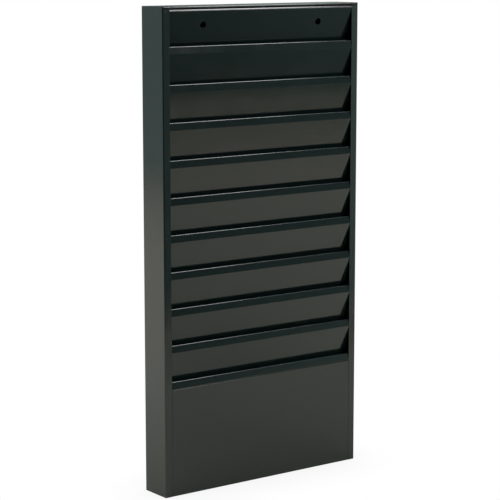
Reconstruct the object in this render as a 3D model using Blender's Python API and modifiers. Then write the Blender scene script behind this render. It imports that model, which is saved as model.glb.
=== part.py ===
"""Wall-hung brochure rack: a shallow casing of folded sheet steel with ten sloping pockets.

Metres, +Z up. The front faces -Y and the back lies in the plane Y = 0, against the wall.
The origin is on the back face, midway between the two screw holes that the rack hangs on.
Heights in this file are measured up from the underside of the rack. An empty lowers
everything so that the screw holes come to Z = 0.

Each piece is one sheet, given by the line that its outer face draws in a cross-section.
The line runs with the outer face on its right, and the thickness grows to its left.
"""

import math

import bmesh
import bpy
from mathutils import Matrix, Vector

# Overall size
WIDTH = 0.340
HEIGHT = 0.680
DEPTH = 0.050

# Sheet thicknesses, clearance between neighbouring pieces, and folds
CASING_SHEET = 0.0012
POCKET_SHEET = 0.0008
GAP = 0.0003
FOLD_RADIUS = 0.0015
ARC_STEP = math.radians(12)

# Casing: widths of the flanges that are folded from each sheet
FRONT_FLANGE = 0.0115
PAN_FLANGE = 0.012
CAP_REAR_FLANGE = 0.012
CAP_HEM_LENGTH = 0.006
CAP_HEM_RADIUS = 0.00135
CHANNEL_FLANGE = 0.012

# Pockets
POCKET_COUNT = 10
POCKET_PITCH = 0.0514
TOP_LIP_HEIGHT = 0.6265
LIP_HEIGHT = 0.0105
LIP_LEAN = 0.0018
LIP_HEM_LENGTH = 0.006
LIP_HEM_RADIUS = 0.00095
KNEE_RADIUS = 0.002
PANEL_SLOPE = 0.265
FLOOR_DROP = 0.140
FOOT_FLANGE = 0.010

# Step behind the last knee, which makes room for the cover
STEP_DEPTH = 0.0016
STEP_DROP = 0.0008
STEP_KNEE_RADIUS = 0.00095
STEP_RADIUS = 0.0005

# Header and cover
HEADER_BEND_RADIUS = 0.004
HEADER_TOP_FLANGE = 0.012
COVER_DROP = 0.0009

# Holes: a screwdriver passes the header and drives a screw through the back panel
SCREW_HEIGHT = 0.6545
SCREW_SPACING = 0.200
SCREW_HOLE_RADIUS = 0.0035
DRIVER_HOLE_RADIUS = 0.0048
HOLE_SIDES = 32
CUTTER_LENGTH = 0.020

# Planes that several pieces share
FRONT = -DEPTH
INNER_WALL = WIDTH / 2 - CASING_SHEET
INNER_HALF_WIDTH = INNER_WALL - GAP
SHEET_HALF_WIDTH = WIDTH / 2 - FRONT_FLANGE - GAP
PAN_INSIDE = -CASING_SHEET - GAP
CAP_UNDERSIDE = HEIGHT - 2 * CAP_HEM_RADIUS
HEADER_TOP = CAP_UNDERSIDE - GAP

CHARCOAL = (0.017, 0.020, 0.019)


def clear_scene():
    """Removes every object, so that the rack builds the same from any scene."""
    for item in list(bpy.data.objects):
        bpy.data.objects.remove(item, do_unlink=True)


def new_collection(name):
    """Makes a collection and links it to the scene."""
    collection = bpy.data.collections.new(name)
    bpy.context.scene.collection.children.link(collection)
    return collection


def enamel(name):
    """Semi-gloss charcoal enamel, baked on."""
    material = bpy.data.materials.new(name)
    material.use_nodes = True
    shader = material.node_tree.nodes["Principled BSDF"]
    shader.inputs["Base Color"].default_value = (*CHARCOAL, 1.0)
    shader.inputs["Roughness"].default_value = 0.35
    shader.inputs["Metallic"].default_value = 0.0
    return material


def folded_line(*corners):
    """Rounds a section's corners, each (u, v, radius), into the points of its folds."""
    tips = [Vector(corner[:2]) for corner in corners]
    radii = [corner[2] for corner in corners]
    points = [tips[0]]
    for before, tip, after, radius in zip(tips, tips[1:], tips[2:], radii[1:]):
        arriving = (tip - before).normalized()
        leaving = (after - tip).normalized()
        turn = math.atan2(arriving.cross(leaving), arriving.dot(leaving))
        start = tip - arriving * radius * math.tan(abs(turn) / 2)
        to_centre = Vector((-arriving.y, arriving.x)) * math.copysign(radius, turn)
        steps = math.ceil(abs(turn) / ARC_STEP)
        for step in range(steps + 1):
            spoke = Matrix.Rotation(turn * step / steps, 2) @ -to_centre
            points.append(start + to_centre + spoke)
    points.append(tips[-1])
    return [point for point, last in zip(points, [None] + points) if is_apart(point, last)]


def is_apart(point, last):
    """Tells whether a point is far enough from the one before it to make a face."""
    return last is None or (point - last).length > GAP / 100


def side_section(u, v, w):
    """Places a section drawn in the YZ plane, for a sheet whose folds run along X."""
    return (w, u, v)


def plan_section(u, v, w):
    """Places a section drawn in the XY plane, for a sheet whose folds run along Z."""
    return (u, v, w)


def folded_sheet(name, line, section, start, end, thickness):
    """A sheet with the given section, from start to end along its folds."""
    build = bmesh.new()
    near = [build.verts.new(section(u, v, start)) for u, v in line]
    far = [build.verts.new(section(u, v, end)) for u, v in line]
    for corner in zip(near, near[1:], far[1:], far):
        build.faces.new(corner)
    mesh = bpy.data.meshes.new(name)
    build.to_mesh(mesh)
    build.free()
    sheet = bpy.data.objects.new(name, mesh)
    shell = sheet.modifiers.new("thickness", "SOLIDIFY")
    shell.thickness = thickness
    shell.offset = -1.0
    shell.use_even_offset = True
    return sheet


def place(item, collection, parent, location=(0.0, 0.0, 0.0)):
    """Links an object, hangs it on its parent and sets where it is."""
    collection.objects.link(item)
    item.parent = parent
    item.location = location
    bpy.context.view_layer.update()


def as_cutter(item, collection, parent, location=(0.0, 0.0, 0.0)):
    """Places a shape that only cuts others."""
    place(item, collection, parent, location)
    item.hide_render = True
    item.display_type = "WIRE"


def block(name, low, high):
    """A box between two corners."""
    build = bmesh.new()
    size = Vector(high) - Vector(low)
    middle = (Vector(high) + Vector(low)) / 2
    bmesh.ops.create_cube(
        build, size=1.0, matrix=Matrix.Translation(middle) @ Matrix.Diagonal((*size, 1.0))
    )
    mesh = bpy.data.meshes.new(name)
    build.to_mesh(mesh)
    build.free()
    return bpy.data.objects.new(name, mesh)


def drill(name, radius, tilt):
    """A cylinder along Y for cutting a hole, tilted about X."""
    build = bmesh.new()
    bmesh.ops.create_cone(
        build,
        cap_ends=True,
        segments=HOLE_SIDES,
        radius1=radius,
        radius2=radius,
        depth=CUTTER_LENGTH,
        matrix=Matrix.Rotation(math.pi / 2 + tilt, 4, "X"),
    )
    mesh = bpy.data.meshes.new(name)
    build.to_mesh(mesh)
    build.free()
    return bpy.data.objects.new(name, mesh)


def cut(sheet, cutter):
    """Takes the cutter's shape out of a sheet."""
    opening = sheet.modifiers.new(cutter.name, "BOOLEAN")
    opening.operation = "DIFFERENCE"
    opening.solver = "EXACT"
    opening.object = cutter


def finish(sheet):
    """Turns the modifiers' result into the sheet's own mesh, shades it and enamels it."""
    evaluated = sheet.evaluated_get(bpy.context.evaluated_depsgraph_get())
    mesh = bpy.data.meshes.new_from_object(evaluated)
    mesh.name = sheet.name
    sheet.modifiers.clear()
    sheet.data = mesh
    mesh.materials.clear()
    mesh.materials.append(enamel(f"{sheet.name}_enamel"))
    mesh.shade_smooth()
    mesh.set_sharp_from_angle(angle=math.radians(30))


def cap_seat():
    """Room that the cap takes between the side walls, cut from the front flanges' tops."""
    low = (-INNER_WALL, FRONT - GAP, HEADER_TOP)
    high = (INNER_WALL, 0.0, HEIGHT + GAP)
    return block("cap_seat", low, high)


def pan_notch(name, bottom, top):
    """Room for the cap's or the channel's rear flange, cut from the pan's side flanges."""
    low = (-WIDTH / 2, -PAN_FLANGE - GAP, bottom)
    high = (WIDTH / 2, PAN_INSIDE + GAP / 2, top)
    return block(name, low, high)


def side_line():
    """Front flange and wall of the right-hand side."""
    return folded_line(
        (WIDTH / 2 - FRONT_FLANGE, FRONT, 0.0),
        (WIDTH / 2, FRONT, FOLD_RADIUS),
        (WIDTH / 2, 0.0, 0.0),
    )


def side(name, mirrored):
    """One side of the casing, as tall as the rack."""
    line = side_line()
    if mirrored:
        line = [Vector((-point.x, point.y)) for point in reversed(line)]
    return folded_sheet(name, line, plan_section, 0.0, HEIGHT, CASING_SHEET)


def back_panel():
    """Pan that closes the back, with a flange forward along each side."""
    line = folded_line(
        (INNER_HALF_WIDTH, -PAN_FLANGE, 0.0),
        (INNER_HALF_WIDTH, 0.0, FOLD_RADIUS),
        (-INNER_HALF_WIDTH, 0.0, FOLD_RADIUS),
        (-INNER_HALF_WIDTH, -PAN_FLANGE, 0.0),
    )
    return folded_sheet("back_panel", line, plan_section, 0.0, HEIGHT, CASING_SHEET)


def top_cap():
    """Top sheet, hemmed under at the front and folded down inside the back panel."""
    line = folded_line(
        (PAN_INSIDE, HEIGHT - CAP_REAR_FLANGE, 0.0),
        (PAN_INSIDE, HEIGHT, FOLD_RADIUS),
        (FRONT, HEIGHT, CAP_HEM_RADIUS),
        (FRONT, CAP_UNDERSIDE, CAP_HEM_RADIUS),
        (FRONT + CAP_HEM_LENGTH, CAP_UNDERSIDE, 0.0),
    )
    reach = INNER_HALF_WIDTH
    return folded_sheet("top_cap", line, side_section, -reach, reach, CASING_SHEET)


def trough(start, floor, back):
    """Last corners of a sheet: down its panel from start, back along a floor, up the pan."""
    depth, height = start
    return (
        (depth + PANEL_SLOPE * (height - floor), floor, FOLD_RADIUS),
        (back, floor, FOLD_RADIUS),
        (back, floor + FOOT_FLANGE, 0.0),
    )


def header_sheet():
    """Sloping panel under the cap, bent round at the top so that the bend meets the front."""
    slant = math.hypot(1.0, PANEL_SLOPE)
    overhang = HEADER_BEND_RADIUS * (slant + PANEL_SLOPE - 1.0)
    tip = (FRONT - overhang, HEADER_TOP)
    line = folded_line(
        (FRONT + HEADER_BEND_RADIUS + HEADER_TOP_FLANGE, HEADER_TOP, 0.0),
        (*tip, HEADER_BEND_RADIUS),
        *trough(tip, knee_height(-1) - FLOOR_DROP, PAN_INSIDE),
    )
    reach = SHEET_HALF_WIDTH
    return folded_sheet("header_sheet", line, side_section, -reach, reach, POCKET_SHEET)


def pocket_sheet(name, bends):
    """Pocket front: hemmed lip, the bends of its knee, sloping panel and trough.

    Each bend is (u, v, radius), from the knee's corner, which is at the origin.
    """
    up_lip = Vector((LIP_LEAN, LIP_HEIGHT)).normalized()
    to_back = Vector((up_lip.y, -up_lip.x))
    lip_top = up_lip * LIP_HEIGHT
    hem_top = lip_top + to_back * 2 * LIP_HEM_RADIUS
    hem_end = hem_top - up_lip * LIP_HEM_LENGTH
    line = folded_line(
        (*hem_end, 0.0),
        (*hem_top, LIP_HEM_RADIUS),
        (*lip_top, LIP_HEM_RADIUS),
        *bends,
        *trough(bends[-1][:2], -FLOOR_DROP, PAN_INSIDE - FRONT),
    )
    reach = SHEET_HALF_WIDTH
    return folded_sheet(name, line, side_section, -reach, reach, POCKET_SHEET)


def knee_height(pocket):
    """Height of a pocket's knee, counting pockets from 0 at the top and the header as -1."""
    return TOP_LIP_HEIGHT - LIP_HEIGHT - pocket * POCKET_PITCH


def bottom_cover():
    """Flat cover, flush with the front flanges, its top edge close under the last knee."""
    line = folded_line(
        (FRONT, knee_height(POCKET_COUNT - 1) - COVER_DROP, 0.0),
        (FRONT, 0.0, 0.0),
    )
    reach = SHEET_HALF_WIDTH
    return folded_sheet("bottom_cover", line, side_section, -reach, reach, POCKET_SHEET)


def base_channel():
    """Channel that closes the bottom, with a flange up behind the cover and at the back."""
    inside_front = FRONT + CASING_SHEET + GAP
    line = folded_line(
        (inside_front, CHANNEL_FLANGE, 0.0),
        (inside_front, 0.0, FOLD_RADIUS),
        (PAN_INSIDE, 0.0, FOLD_RADIUS),
        (PAN_INSIDE, CHANNEL_FLANGE, 0.0),
    )
    reach = INNER_HALF_WIDTH
    return folded_sheet("base_channel", line, side_section, -reach, reach, CASING_SHEET)


def build_casing(parts, cutters, datum):
    """Sides, back, cap and base."""
    seat = cap_seat()
    as_cutter(seat, cutters, datum)
    top_notch = pan_notch("cap_notch", HEIGHT - CAP_REAR_FLANGE - GAP, HEIGHT + GAP)
    bottom_notch = pan_notch("base_notch", -GAP, CHANNEL_FLANGE + GAP)
    as_cutter(top_notch, cutters, datum)
    as_cutter(bottom_notch, cutters, datum)

    for name, mirrored in (("side_left", True), ("side_right", False)):
        wall = side(name, mirrored)
        place(wall, parts, datum)
        cut(wall, seat)
        finish(wall)

    pan = back_panel()
    place(pan, parts, datum)
    cut(pan, top_notch)
    cut(pan, bottom_notch)
    for hand, across in (("left", -SCREW_SPACING / 2), ("right", SCREW_SPACING / 2)):
        hole = drill(f"screw_hole_{hand}", SCREW_HOLE_RADIUS, 0.0)
        as_cutter(hole, cutters, datum, (across, 0.0, SCREW_HEIGHT))
        cut(pan, hole)
    finish(pan)

    for sheet in (top_cap(), base_channel()):
        place(sheet, parts, datum)
        finish(sheet)


def build_header(parts, cutters, datum):
    """Header panel with its two screwdriver holes, square to the slope."""
    header = header_sheet()
    place(header, parts, datum)
    drop = HEADER_TOP - SCREW_HEIGHT
    depth = FRONT + PANEL_SLOPE * drop
    tilt = math.atan(PANEL_SLOPE)
    for hand, across in (("left", -SCREW_SPACING / 2), ("right", SCREW_SPACING / 2)):
        hole = drill(f"driver_hole_{hand}", DRIVER_HOLE_RADIUS, tilt)
        as_cutter(hole, cutters, datum, (across, depth, SCREW_HEIGHT))
        cut(header, hole)
    finish(header)


def build_pockets(parts, datum):
    """Nine equal pocket sheets on one mesh, and the last one with a step for the cover."""
    first = pocket_sheet("pocket_sheet_01", [(0.0, 0.0, KNEE_RADIUS)])
    place(first, parts, datum, (0.0, FRONT, knee_height(0)))
    finish(first)
    for pocket in range(1, POCKET_COUNT - 1):
        sheet = bpy.data.objects.new(f"pocket_sheet_{pocket + 1:02d}", first.data)
        place(sheet, parts, datum, (0.0, FRONT, knee_height(pocket)))

    stepped = [(0.0, 0.0, STEP_KNEE_RADIUS), (STEP_DEPTH, -STEP_DROP, STEP_RADIUS)]
    last = pocket_sheet(f"pocket_sheet_{POCKET_COUNT:02d}", stepped)
    place(last, parts, datum, (0.0, FRONT, knee_height(POCKET_COUNT - 1)))
    finish(last)


def build_cover(parts, datum):
    """Cover below the last pocket."""
    cover = bottom_cover()
    place(cover, parts, datum)
    finish(cover)


def main():
    """Builds the whole rack."""
    clear_scene()
    parts = new_collection("brochure_rack")
    cutters = new_collection("brochure_rack_cutters")
    datum = bpy.data.objects.new("underside", None)
    place(datum, parts, None, (0.0, 0.0, -SCREW_HEIGHT))
    build_casing(parts, cutters, datum)
    build_header(parts, cutters, datum)
    build_pockets(parts, datum)
    build_cover(parts, datum)


main()
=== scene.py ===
"""Looks of the wall-hung brochure rack: baked enamel, softened sheet edges, weld marks and a studio.

Metres, +Z up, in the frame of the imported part. The front faces -Y and the back lies on Y = 0.
"""

import math

import bmesh
import bpy
from mathutils import Euler, Matrix, Vector


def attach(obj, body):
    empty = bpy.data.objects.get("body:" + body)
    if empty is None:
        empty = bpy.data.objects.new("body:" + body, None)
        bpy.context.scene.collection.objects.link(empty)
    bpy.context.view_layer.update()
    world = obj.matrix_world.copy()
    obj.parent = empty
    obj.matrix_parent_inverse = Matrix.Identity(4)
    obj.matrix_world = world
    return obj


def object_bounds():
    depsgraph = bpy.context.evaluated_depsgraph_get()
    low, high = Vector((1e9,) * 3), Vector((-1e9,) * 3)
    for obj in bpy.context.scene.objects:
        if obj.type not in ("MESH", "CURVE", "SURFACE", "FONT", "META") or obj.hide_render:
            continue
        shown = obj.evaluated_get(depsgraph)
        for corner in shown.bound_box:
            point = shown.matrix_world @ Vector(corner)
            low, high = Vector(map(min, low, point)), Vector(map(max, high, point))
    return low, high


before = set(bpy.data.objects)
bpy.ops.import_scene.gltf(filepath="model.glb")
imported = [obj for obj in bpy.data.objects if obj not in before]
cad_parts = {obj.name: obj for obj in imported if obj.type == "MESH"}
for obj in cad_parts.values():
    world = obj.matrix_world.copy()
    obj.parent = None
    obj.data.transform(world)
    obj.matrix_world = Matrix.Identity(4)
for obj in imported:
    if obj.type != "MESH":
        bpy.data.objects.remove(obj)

# Camera, placed from the casing's front, left and top planes
CAMERA_LEFT = 1.372
CAMERA_FRONT = 2.049
CAMERA_ABOVE = 0.078
CAMERA_YAW = math.radians(36.53)
CAMERA_PITCH = math.radians(9.38)
FOCAL_LENGTH = 131.8
SENSOR_WIDTH = 36.0

# Sheet edges
MERGE_DISTANCE = 0.000002
FLAT_ANGLE = math.radians(0.4)
CREASE_ANGLE = math.radians(30)
EDGE_ROUNDING = 0.00022
EDGE_SEGMENTS = 2
LARGE_FACE_WEIGHT = 50

# Pockets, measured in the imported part's frame: the bend under each lip is its knee
POCKET_COUNT = 10
POCKET_PITCH = 0.0514
FIRST_KNEE = -0.0385

# Spot welds, also in the part's frame. A dimple fades out between its two radii
FLOOR_WELD_TOP = -0.1221
FLOOR_WELD_SPACING = 0.065
FLOOR_WELD_REACH = 0.145
FLOOR_WELD_RADII = (0.0024, 0.0038)
CAP_WELD_ACROSS = 0.1637
CAP_WELD_HEIGHT = 0.0195
CAP_WELD_RADII = (0.0009, 0.0016)

# How close to the back or front plane a point has to lie to carry a dimple
FACE_DEPTH = 0.0004

# Weld beads that hold the lips' ends to the front flanges. The size is three half-widths
BEAD_SIZE = (0.0009, 0.0008, 0.0026)
BEAD_SEGMENTS, BEAD_RINGS = 12, 8
BEAD_FROM_SIDE = 0.01165
BEAD_BEHIND_FRONT = 0.0014
BEAD_ABOVE_KNEE = 0.0042

# Enamel
ENAMEL_COLOUR = (0.0070, 0.0165, 0.0158)
ENAMEL_WARM = (0.0095, 0.0160, 0.0148)
# Pale grey on the edges: partly rubbed paint, partly a painted highlight along the edges
ENAMEL_WORN_AND_HIGHLIGHT = (0.0420, 0.0440, 0.0430)
ENAMEL_IOR = 1.5

# Its noises: scale, detail and roughness
CLOUDS = (9.0, 4.0, 0.5)
SPECKLE = (420.0, 3.0, 0.6)
SMUDGES = (28.0, 5.0, 0.62)
CHIPS_AND_GLINTS = (210.0, 4.0, 0.7)
PEEL = (620.0, 2.0, 0.5)
RIPPLE = (16.0, 1.0, 0.5)

# What becomes of them: a range of the noise, and the range that it is stretched onto
CLOUD_TONE = (0.35, 0.65, 0.0, 0.45)
SPECKLE_TONE = (0.35, 0.65, 0.0, 0.55)
SMUDGE_ROUGHNESS = (0.35, 0.70, 0.10, 0.16)
CHIP_AND_GLINT_COVER = (0.42, 0.72, 0.0, 1.0)

# Rubbed edges, lightened partly as a painted highlight along them: the bevel's radius, and how far its
# normal and the true one agree there
WEAR_AND_HIGHLIGHT_RADIUS = 0.0007
WEAR_AND_HIGHLIGHT_SAMPLES = 6
WEAR_AND_HIGHLIGHT_LIKENESS = (0.995, 0.90, 0.0, 1.0)
WEAR_AND_HIGHLIGHT_TONE = 0.8
WEAR_ROUGHNESS = 0.15

# Relief: depth and strength
RIPPLE_RELIEF = (0.0004, 0.35)
DIMPLE_RELIEF = (0.0004, 1.0)
PEEL_RELIEF = (0.00002, 0.5)

# Paper under the rack, and where it turns up in front
PAPER_LEFT, PAPER_RIGHT = -4.0, 1.3
PAPER_FRONT, PAPER_BACK = -0.69, 3.0
PAPER_TURN_UP = 0.10
PAPER_COLOUR = (0.88, 0.83, 0.74)
PAPER_ROUGHNESS = 0.9

# Contact shadow that the camera sees on it, and where it ends towards the turned-up edge
SHADOW_REACH = 0.12
SHADOW_SAMPLES = 16
SHADOW_LEVEL = (0.4, 0.95, 0.90, 1.0)
SHADOW_END = (-0.40, -0.50, 0.0, 1.0)

# Softboxes: place, width and height, and radiance. Above is from the rack's top
OVERHEAD_ACROSS, OVERHEAD_ALONG, OVERHEAD_ABOVE = 0.85, -0.55, 1.05
OVERHEAD_SIZE, OVERHEAD_RADIANCE = (0.42, 1.0), 13.5
FRONT_RIGHT_PLACE = (1.16, -1.7, 0.80)
FRONT_RIGHT_SIZE, FRONT_RIGHT_RADIANCE = (0.9, 0.3), 12.0
BACKDROP_ACROSS, BACKDROP_ALONG, BACKDROP_ABOVE = -1.15, 1.5, 0.9
BACKDROP_SIZE, BACKDROP_RADIANCE = (2.9, 3.3), 2.25

# The room in reflections: a range of the ray's direction, and the brightness that it becomes.
# Downward and upward are factors on the brightness to the right
ROOM_COLOUR = (0.80, 1.0, 0.97)
RIGHT_LEVEL = (0.51, 0.66, 0.0, 0.75)
DOWNWARD_LEVEL = (-0.48, -0.10, 0.20, 1.0)
UPWARD_LEVEL = (0.01, 0.07, 1.0, 0.15)
BACK_DIRECTION = (-0.6, 0.8, 0.0)
BACK_LEVEL = (0.55, 0.90, 0.06, 0.60)

WHITE = (1.0, 1.0, 1.0)


def material(name):
    """A new material with only a Principled shader and its output."""
    made = bpy.data.materials.new(name)
    made.use_nodes = True
    return made, made.node_tree, made.node_tree.nodes["Principled BSDF"]


def node(tree, kind, **settings):
    """Adds a node and sets its properties."""
    made = tree.nodes.new(kind)
    for key, value in settings.items():
        setattr(made, key, value)
    return made


def noise(tree, coordinates, scale, detail, roughness):
    """Fractal noise with a size of about 1 / scale metres."""
    made = node(tree, "ShaderNodeTexNoise")
    made.inputs["Scale"].default_value = scale
    made.inputs["Detail"].default_value = detail
    made.inputs["Roughness"].default_value = roughness
    tree.links.new(coordinates, made.inputs["Vector"])
    return made.outputs["Fac"]


def remap(tree, value, low, high, to_low, to_high):
    """Stretches a range of values onto another and clamps it."""
    made = node(tree, "ShaderNodeMapRange", clamp=True)
    made.inputs["From Min"].default_value = low
    made.inputs["From Max"].default_value = high
    made.inputs["To Min"].default_value = to_low
    made.inputs["To Max"].default_value = to_high
    tree.links.new(value, made.inputs["Value"])
    return made.outputs["Result"]


def calculate(tree, operation, first, second):
    """Math on two values, each a socket or a number."""
    made = node(tree, "ShaderNodeMath", operation=operation)
    for socket, value in zip(made.inputs, (first, second)):
        if isinstance(value, (int, float)):
            socket.default_value = value
        else:
            tree.links.new(value, socket)
    return made.outputs["Value"]


def blend_colour(tree, factor, first, second):
    """Mixes two colours, each a socket or a triple."""
    made = node(tree, "ShaderNodeMix", data_type="RGBA")
    tree.links.new(factor, made.inputs["Factor"])
    for key, value in (("A", first), ("B", second)):
        socket = [s for s in made.inputs if s.name == key and s.type == "RGBA"][0]
        if isinstance(value, tuple):
            socket.default_value = (*value, 1.0)
        else:
            tree.links.new(value, socket)
    return [s for s in made.outputs if s.type == "RGBA"][0]


def edge_mask(tree, radius):
    """About 1 on edges that bend within the radius and 0 on flat sheet."""
    rounded = node(tree, "ShaderNodeBevel", samples=WEAR_AND_HIGHLIGHT_SAMPLES)
    rounded.inputs["Radius"].default_value = radius
    true_normal = node(tree, "ShaderNodeNewGeometry").outputs["Normal"]
    likeness = node(tree, "ShaderNodeVectorMath", operation="DOT_PRODUCT")
    tree.links.new(rounded.outputs["Normal"], likeness.inputs[0])
    tree.links.new(true_normal, likeness.inputs[1])
    return remap(tree, likeness.outputs["Value"], *WEAR_AND_HIGHLIGHT_LIKENESS)


def bump(tree, height, distance, strength, normal=None):
    """Adds relief of the given depth on top of an earlier normal."""
    made = node(tree, "ShaderNodeBump")
    made.inputs["Distance"].default_value = distance
    made.inputs["Strength"].default_value = strength
    tree.links.new(height, made.inputs["Height"])
    if normal is not None:
        tree.links.new(normal, made.inputs["Normal"])
    return made.outputs["Normal"]


def distance_to(tree, first, second):
    """Length of the flat vector whose two parts are given."""
    joined = node(tree, "ShaderNodeCombineXYZ")
    tree.links.new(first, joined.inputs[0])
    tree.links.new(second, joined.inputs[1])
    length = node(tree, "ShaderNodeVectorMath", operation="LENGTH")
    tree.links.new(joined.outputs["Vector"], length.inputs[0])
    return length.outputs["Value"]


def from_nearest(tree, value, pitch):
    """Signed distance of a value from the nearest multiple of the pitch."""
    turns = calculate(tree, "ROUND", calculate(tree, "DIVIDE", value, pitch), 0.0)
    return calculate(tree, "SUBTRACT", value, calculate(tree, "MULTIPLY", turns, pitch))


def spot_welds(tree, low):
    """Dimples: rows on the back where the pockets are welded on, and one at each end of the cap."""
    parts = node(tree, "ShaderNodeSeparateXYZ")
    tree.links.new(node(tree, "ShaderNodeNewGeometry").outputs["Position"], parts.inputs["Vector"])
    across, along, up = parts.outputs
    out = calculate(tree, "ABSOLUTE", across, 0.0)

    row = from_nearest(tree, calculate(tree, "SUBTRACT", up, FLOOR_WELD_TOP), POCKET_PITCH)
    rows = distance_to(tree, from_nearest(tree, across, FLOOR_WELD_SPACING), row)
    on_back = calculate(tree, "GREATER_THAN", along, -FACE_DEPTH)
    below_top = calculate(tree, "LESS_THAN", up, FLOOR_WELD_TOP + POCKET_PITCH / 2)
    between = calculate(tree, "LESS_THAN", out, FLOOR_WELD_REACH)
    back = calculate(tree, "MULTIPLY", on_back, calculate(tree, "MULTIPLY", below_top, between))
    back = calculate(tree, "MULTIPLY", back, remap(tree, rows, *FLOOR_WELD_RADII, 1.0, 0.0))

    end = distance_to(
        tree,
        calculate(tree, "SUBTRACT", out, CAP_WELD_ACROSS),
        calculate(tree, "SUBTRACT", up, CAP_WELD_HEIGHT),
    )
    front = calculate(tree, "LESS_THAN", along, low.y + FACE_DEPTH)
    front = calculate(tree, "MULTIPLY", front, remap(tree, end, *CAP_WELD_RADII, 1.0, 0.0))
    return calculate(tree, "MAXIMUM", back, front)


def charcoal_enamel(low):
    """Glossy baked enamel: orange peel, slight ripple of the sheet, smudges, and rubbed edges whose
    lighter colour is partly a painted highlight.
    """
    made, tree, shader = material("charcoal_enamel")
    place = node(tree, "ShaderNodeTexCoord").outputs["Object"]
    clouds = noise(tree, place, *CLOUDS)
    speckle = noise(tree, place, *SPECKLE)
    smudges = noise(tree, place, *SMUDGES)
    peel = noise(tree, place, *PEEL)
    ripple = noise(tree, place, *RIPPLE)
    # Edge mask broken up by noise: where edges are worn, and where a painted highlight lies on them
    edges = edge_mask(tree, WEAR_AND_HIGHLIGHT_RADIUS)
    chips_and_glints = remap(tree, noise(tree, place, *CHIPS_AND_GLINTS), *CHIP_AND_GLINT_COVER)
    wear_and_highlight = calculate(tree, "MULTIPLY", edges, chips_and_glints)

    tone = remap(tree, clouds, *CLOUD_TONE)
    grain = remap(tree, speckle, *SPECKLE_TONE)
    mottled = calculate(tree, "MAXIMUM", tone, grain)
    colour = blend_colour(tree, mottled, ENAMEL_COLOUR, ENAMEL_WARM)
    # Edges turn pale grey: partly rubbed paint, partly a painted highlight along the edges
    colour = blend_colour(tree, calculate(tree, "MULTIPLY", wear_and_highlight, WEAR_AND_HIGHLIGHT_TONE), colour, ENAMEL_WORN_AND_HIGHLIGHT)
    tree.links.new(colour, shader.inputs["Base Color"])

    roughness = remap(tree, smudges, *SMUDGE_ROUGHNESS)
    roughness = calculate(tree, "ADD", roughness, calculate(tree, "MULTIPLY", wear_and_highlight, WEAR_ROUGHNESS))
    tree.links.new(roughness, shader.inputs["Roughness"])

    wavy = bump(tree, ripple, *RIPPLE_RELIEF)
    dimples = calculate(tree, "SUBTRACT", 1.0, spot_welds(tree, low))
    dimpled = bump(tree, dimples, *DIMPLE_RELIEF, wavy)
    peeled = bump(tree, peel, *PEEL_RELIEF, dimpled)
    tree.links.new(peeled, shader.inputs["Normal"])
    shader.inputs["IOR"].default_value = ENAMEL_IOR
    return made


def sheet_edges():
    """Node group that joins a sheet's triangles and keeps only its real creases sharp."""
    group = bpy.data.node_groups.new("sheet_edges", "GeometryNodeTree")
    group.interface.new_socket("Geometry", in_out="INPUT", socket_type="NodeSocketGeometry")
    group.interface.new_socket("Geometry", in_out="OUTPUT", socket_type="NodeSocketGeometry")
    given = node(group, "NodeGroupInput")
    result = node(group, "NodeGroupOutput")
    joined = node(group, "GeometryNodeMergeByDistance")
    joined.inputs["Distance"].default_value = MERGE_DISTANCE
    angle = node(group, "GeometryNodeInputMeshEdgeAngle")
    sharp = node(group, "FunctionNodeCompare", operation="GREATER_THAN")
    sharp.inputs[1].default_value = CREASE_ANGLE
    shading = node(group, "GeometryNodeSetMeshNormal", mode="SHARPNESS")
    shading.inputs["Remove Custom"].default_value = True
    shading.inputs["Face Sharpness"].default_value = False
    group.links.new(given.outputs[0], joined.inputs["Geometry"])
    group.links.new(joined.outputs["Geometry"], shading.inputs["Mesh"])
    group.links.new(angle.outputs["Unsigned Angle"], sharp.inputs[0])
    group.links.new(sharp.outputs[0], shading.inputs["Edge Sharpness"])
    group.links.new(shading.outputs["Mesh"], result.inputs[0])
    return group


def soften(sheet, group):
    """Joins a CAD sheet's facets, then rounds its cut edges as paint does."""
    joined = sheet.modifiers.new("joined", "NODES")
    joined.node_group = group
    flats = sheet.modifiers.new("flats", "DECIMATE")
    flats.decimate_type = "DISSOLVE"
    flats.angle_limit = FLAT_ANGLE
    rounded = sheet.modifiers.new("rounded", "BEVEL")
    rounded.width = EDGE_ROUNDING
    rounded.segments = EDGE_SEGMENTS
    rounded.limit_method = "ANGLE"
    rounded.angle_limit = CREASE_ANGLE
    rounded.harden_normals = True
    flat_shading = sheet.modifiers.new("flat_shading", "WEIGHTED_NORMAL")
    flat_shading.mode = "FACE_AREA"
    flat_shading.weight = LARGE_FACE_WEIGHT
    flat_shading.keep_sharp = True


def weld_beads(low, high, enamel):
    """Small beads in the corners between the lips' ends and the front flanges, all one mesh."""
    build = bmesh.new()
    corner = high.x - BEAD_FROM_SIDE
    for pocket in range(POCKET_COUNT):
        height = FIRST_KNEE - pocket * POCKET_PITCH + BEAD_ABOVE_KNEE
        for across in (-corner, corner):
            spot = Matrix.Translation((across, low.y + BEAD_BEHIND_FRONT, height))
            shape = spot @ Matrix.Diagonal((*BEAD_SIZE, 1.0))
            bmesh.ops.create_uvsphere(
                build, u_segments=BEAD_SEGMENTS, v_segments=BEAD_RINGS, radius=1.0, matrix=shape
            )
    mesh = bpy.data.meshes.new("weld_beads")
    build.to_mesh(mesh)
    build.free()
    mesh.shade_smooth()
    mesh.materials.append(enamel)
    beads = bpy.data.objects.new("weld_beads", mesh)
    bpy.context.scene.collection.objects.link(beads)
    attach(beads, "root")


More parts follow.
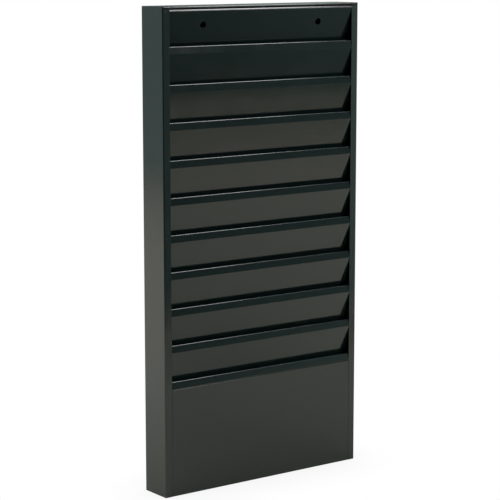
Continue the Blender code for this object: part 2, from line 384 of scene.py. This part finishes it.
def area_light(name, location, aim, size, radiance):
    """A softbox of the given width and height, aimed at a point, as bright as its radiance."""
    lamp = bpy.data.lights.new(name, "AREA")
    lamp.shape = "RECTANGLE"
    lamp.size, lamp.size_y = size
    lamp.energy = radiance * math.pi * size[0] * size[1]
    made = bpy.data.objects.new(name, lamp)
    bpy.context.scene.collection.objects.link(made)
    made.location = location
    made.rotation_euler = (Vector(aim) - Vector(location)).to_track_quat("-Z", "Y").to_euler()
    made.visible_camera = False
    return made


def studio_world():
    """White behind the object for the camera; in reflections a dim room, paler right and back left."""
    world = bpy.data.worlds.new("studio")
    bpy.context.scene.world = world
    world.use_nodes = True
    tree = world.node_tree
    tree.nodes.clear()
    place = node(tree, "ShaderNodeTexCoord").outputs["Generated"]
    parts = node(tree, "ShaderNodeSeparateXYZ")
    tree.links.new(place, parts.inputs["Vector"])
    across, _, up = parts.outputs
    right_side = remap(tree, across, *RIGHT_LEVEL)
    downward = remap(tree, up, *DOWNWARD_LEVEL)
    level_side = calculate(tree, "MULTIPLY", downward, remap(tree, up, *UPWARD_LEVEL))
    toward = node(tree, "ShaderNodeVectorMath", operation="DOT_PRODUCT")
    tree.links.new(place, toward.inputs[0])
    toward.inputs[1].default_value = Vector(BACK_DIRECTION)
    back_side = remap(tree, toward.outputs["Value"], *BACK_LEVEL)
    level = calculate(tree, "ADD", calculate(tree, "MULTIPLY", right_side, level_side), back_side)
    room = node(tree, "ShaderNodeBackground")
    room.inputs["Color"].default_value = (*ROOM_COLOUR, 1.0)
    tree.links.new(level, room.inputs["Strength"])
    white = node(tree, "ShaderNodeBackground")
    white.inputs["Color"].default_value = (*WHITE, 1.0)
    white.inputs["Strength"].default_value = 1.0
    seen = node(tree, "ShaderNodeLightPath").outputs["Is Camera Ray"]
    either = node(tree, "ShaderNodeMixShader")
    tree.links.new(seen, either.inputs["Fac"])
    tree.links.new(room.outputs["Background"], either.inputs[1])
    tree.links.new(white.outputs["Background"], either.inputs[2])
    output = node(tree, "ShaderNodeOutputWorld")
    tree.links.new(either.outputs["Shader"], output.inputs["Surface"])


def white_paper():
    """Matte white paper; the camera sees it washed out to white except in the contact shadow."""
    made, tree, shader = material("white_paper")
    shader.inputs["Base Color"].default_value = (*PAPER_COLOUR, 1.0)
    shader.inputs["Roughness"].default_value = PAPER_ROUGHNESS
    shader.inputs["Specular IOR Level"].default_value = 0.0
    shadow = node(tree, "ShaderNodeAmbientOcclusion", samples=SHADOW_SAMPLES)
    shadow.inputs["Distance"].default_value = SHADOW_REACH
    glare = node(tree, "ShaderNodeEmission")
    glare.inputs["Color"].default_value = (*WHITE, 1.0)
    parts = node(tree, "ShaderNodeSeparateXYZ")
    tree.links.new(node(tree, "ShaderNodeNewGeometry").outputs["Position"], parts.inputs["Vector"])
    far_front = remap(tree, parts.outputs["Y"], *SHADOW_END)
    contact = remap(tree, shadow.outputs["AO"], *SHADOW_LEVEL)
    tree.links.new(calculate(tree, "MAXIMUM", contact, far_front), glare.inputs["Strength"])
    seen = node(tree, "ShaderNodeLightPath").outputs["Is Camera Ray"]
    either = node(tree, "ShaderNodeMixShader")
    tree.links.new(seen, either.inputs["Fac"])
    tree.links.new(shader.outputs["BSDF"], either.inputs[1])
    tree.links.new(glare.outputs["Emission"], either.inputs[2])
    output = tree.nodes["Material Output"]
    tree.links.new(either.outputs["Shader"], output.inputs["Surface"])
    return made


def paper(name, corners, look):
    """One flat sheet of paper between its four corners."""
    build = bmesh.new()
    build.faces.new([build.verts.new(corner) for corner in corners])
    mesh = bpy.data.meshes.new(name)
    build.to_mesh(mesh)
    build.free()
    mesh.materials.append(look)
    made = bpy.data.objects.new(name, mesh)
    bpy.context.scene.collection.objects.link(made)
    return made


def paper_floor(low):
    """White paper under the rack, turned up in front of it out of the camera's sight."""
    look = white_paper()
    left, right, front, back = PAPER_LEFT, PAPER_RIGHT, PAPER_FRONT, PAPER_BACK
    top = low.z + PAPER_TURN_UP
    paper(
        "paper_floor",
        ((left, front, low.z), (right, front, low.z), (right, back, low.z), (left, back, low.z)),
        look,
    )
    turned_up = paper(
        "paper_turn_up",
        ((left, front, low.z), (right, front, low.z), (right, front, top), (left, front, top)),
        look,
    )
    turned_up.visible_camera = False


def softboxes(low, high):
    """One above on the right, one in front on the right, one over the paper behind on the left."""
    area_light(
        "overhead",
        (OVERHEAD_ACROSS, OVERHEAD_ALONG, high.z + OVERHEAD_ABOVE),
        (OVERHEAD_ACROSS, 0.0, low.z),
        OVERHEAD_SIZE,
        OVERHEAD_RADIANCE,
    )
    area_light(
        "front_right", FRONT_RIGHT_PLACE, (0.0, 0.0, 0.0), FRONT_RIGHT_SIZE, FRONT_RIGHT_RADIANCE
    )
    area_light(
        "backdrop",
        (BACKDROP_ACROSS, BACKDROP_ALONG, high.z + BACKDROP_ABOVE),
        (BACKDROP_ACROSS, BACKDROP_ALONG, low.z),
        BACKDROP_SIZE,
        BACKDROP_RADIANCE,
    )


def studio_camera(low, high):
    """Camera at the photographer's place and angle."""
    lens = bpy.data.cameras.new("camera")
    lens.lens = FOCAL_LENGTH
    lens.sensor_width = SENSOR_WIDTH
    camera = bpy.data.objects.new("camera", lens)
    bpy.context.scene.collection.objects.link(camera)
    camera.location = (low.x - CAMERA_LEFT, low.y - CAMERA_FRONT, high.z + CAMERA_ABOVE)
    camera.rotation_euler = Euler((math.pi / 2 - CAMERA_PITCH, 0.0, -CAMERA_YAW))
    bpy.context.scene.camera = camera


def main():
    """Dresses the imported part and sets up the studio."""
    low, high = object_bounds()
    enamel = charcoal_enamel(low)
    creases = sheet_edges()
    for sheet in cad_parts.values():
        for slot in sheet.material_slots:
            slot.material = enamel
        soften(sheet, creases)
    weld_beads(low, high, enamel)

    paper_floor(low)
    softboxes(low, high)
    studio_world()
    studio_camera(low, high)
    bpy.context.scene.view_settings.view_transform = "Standard"


main()
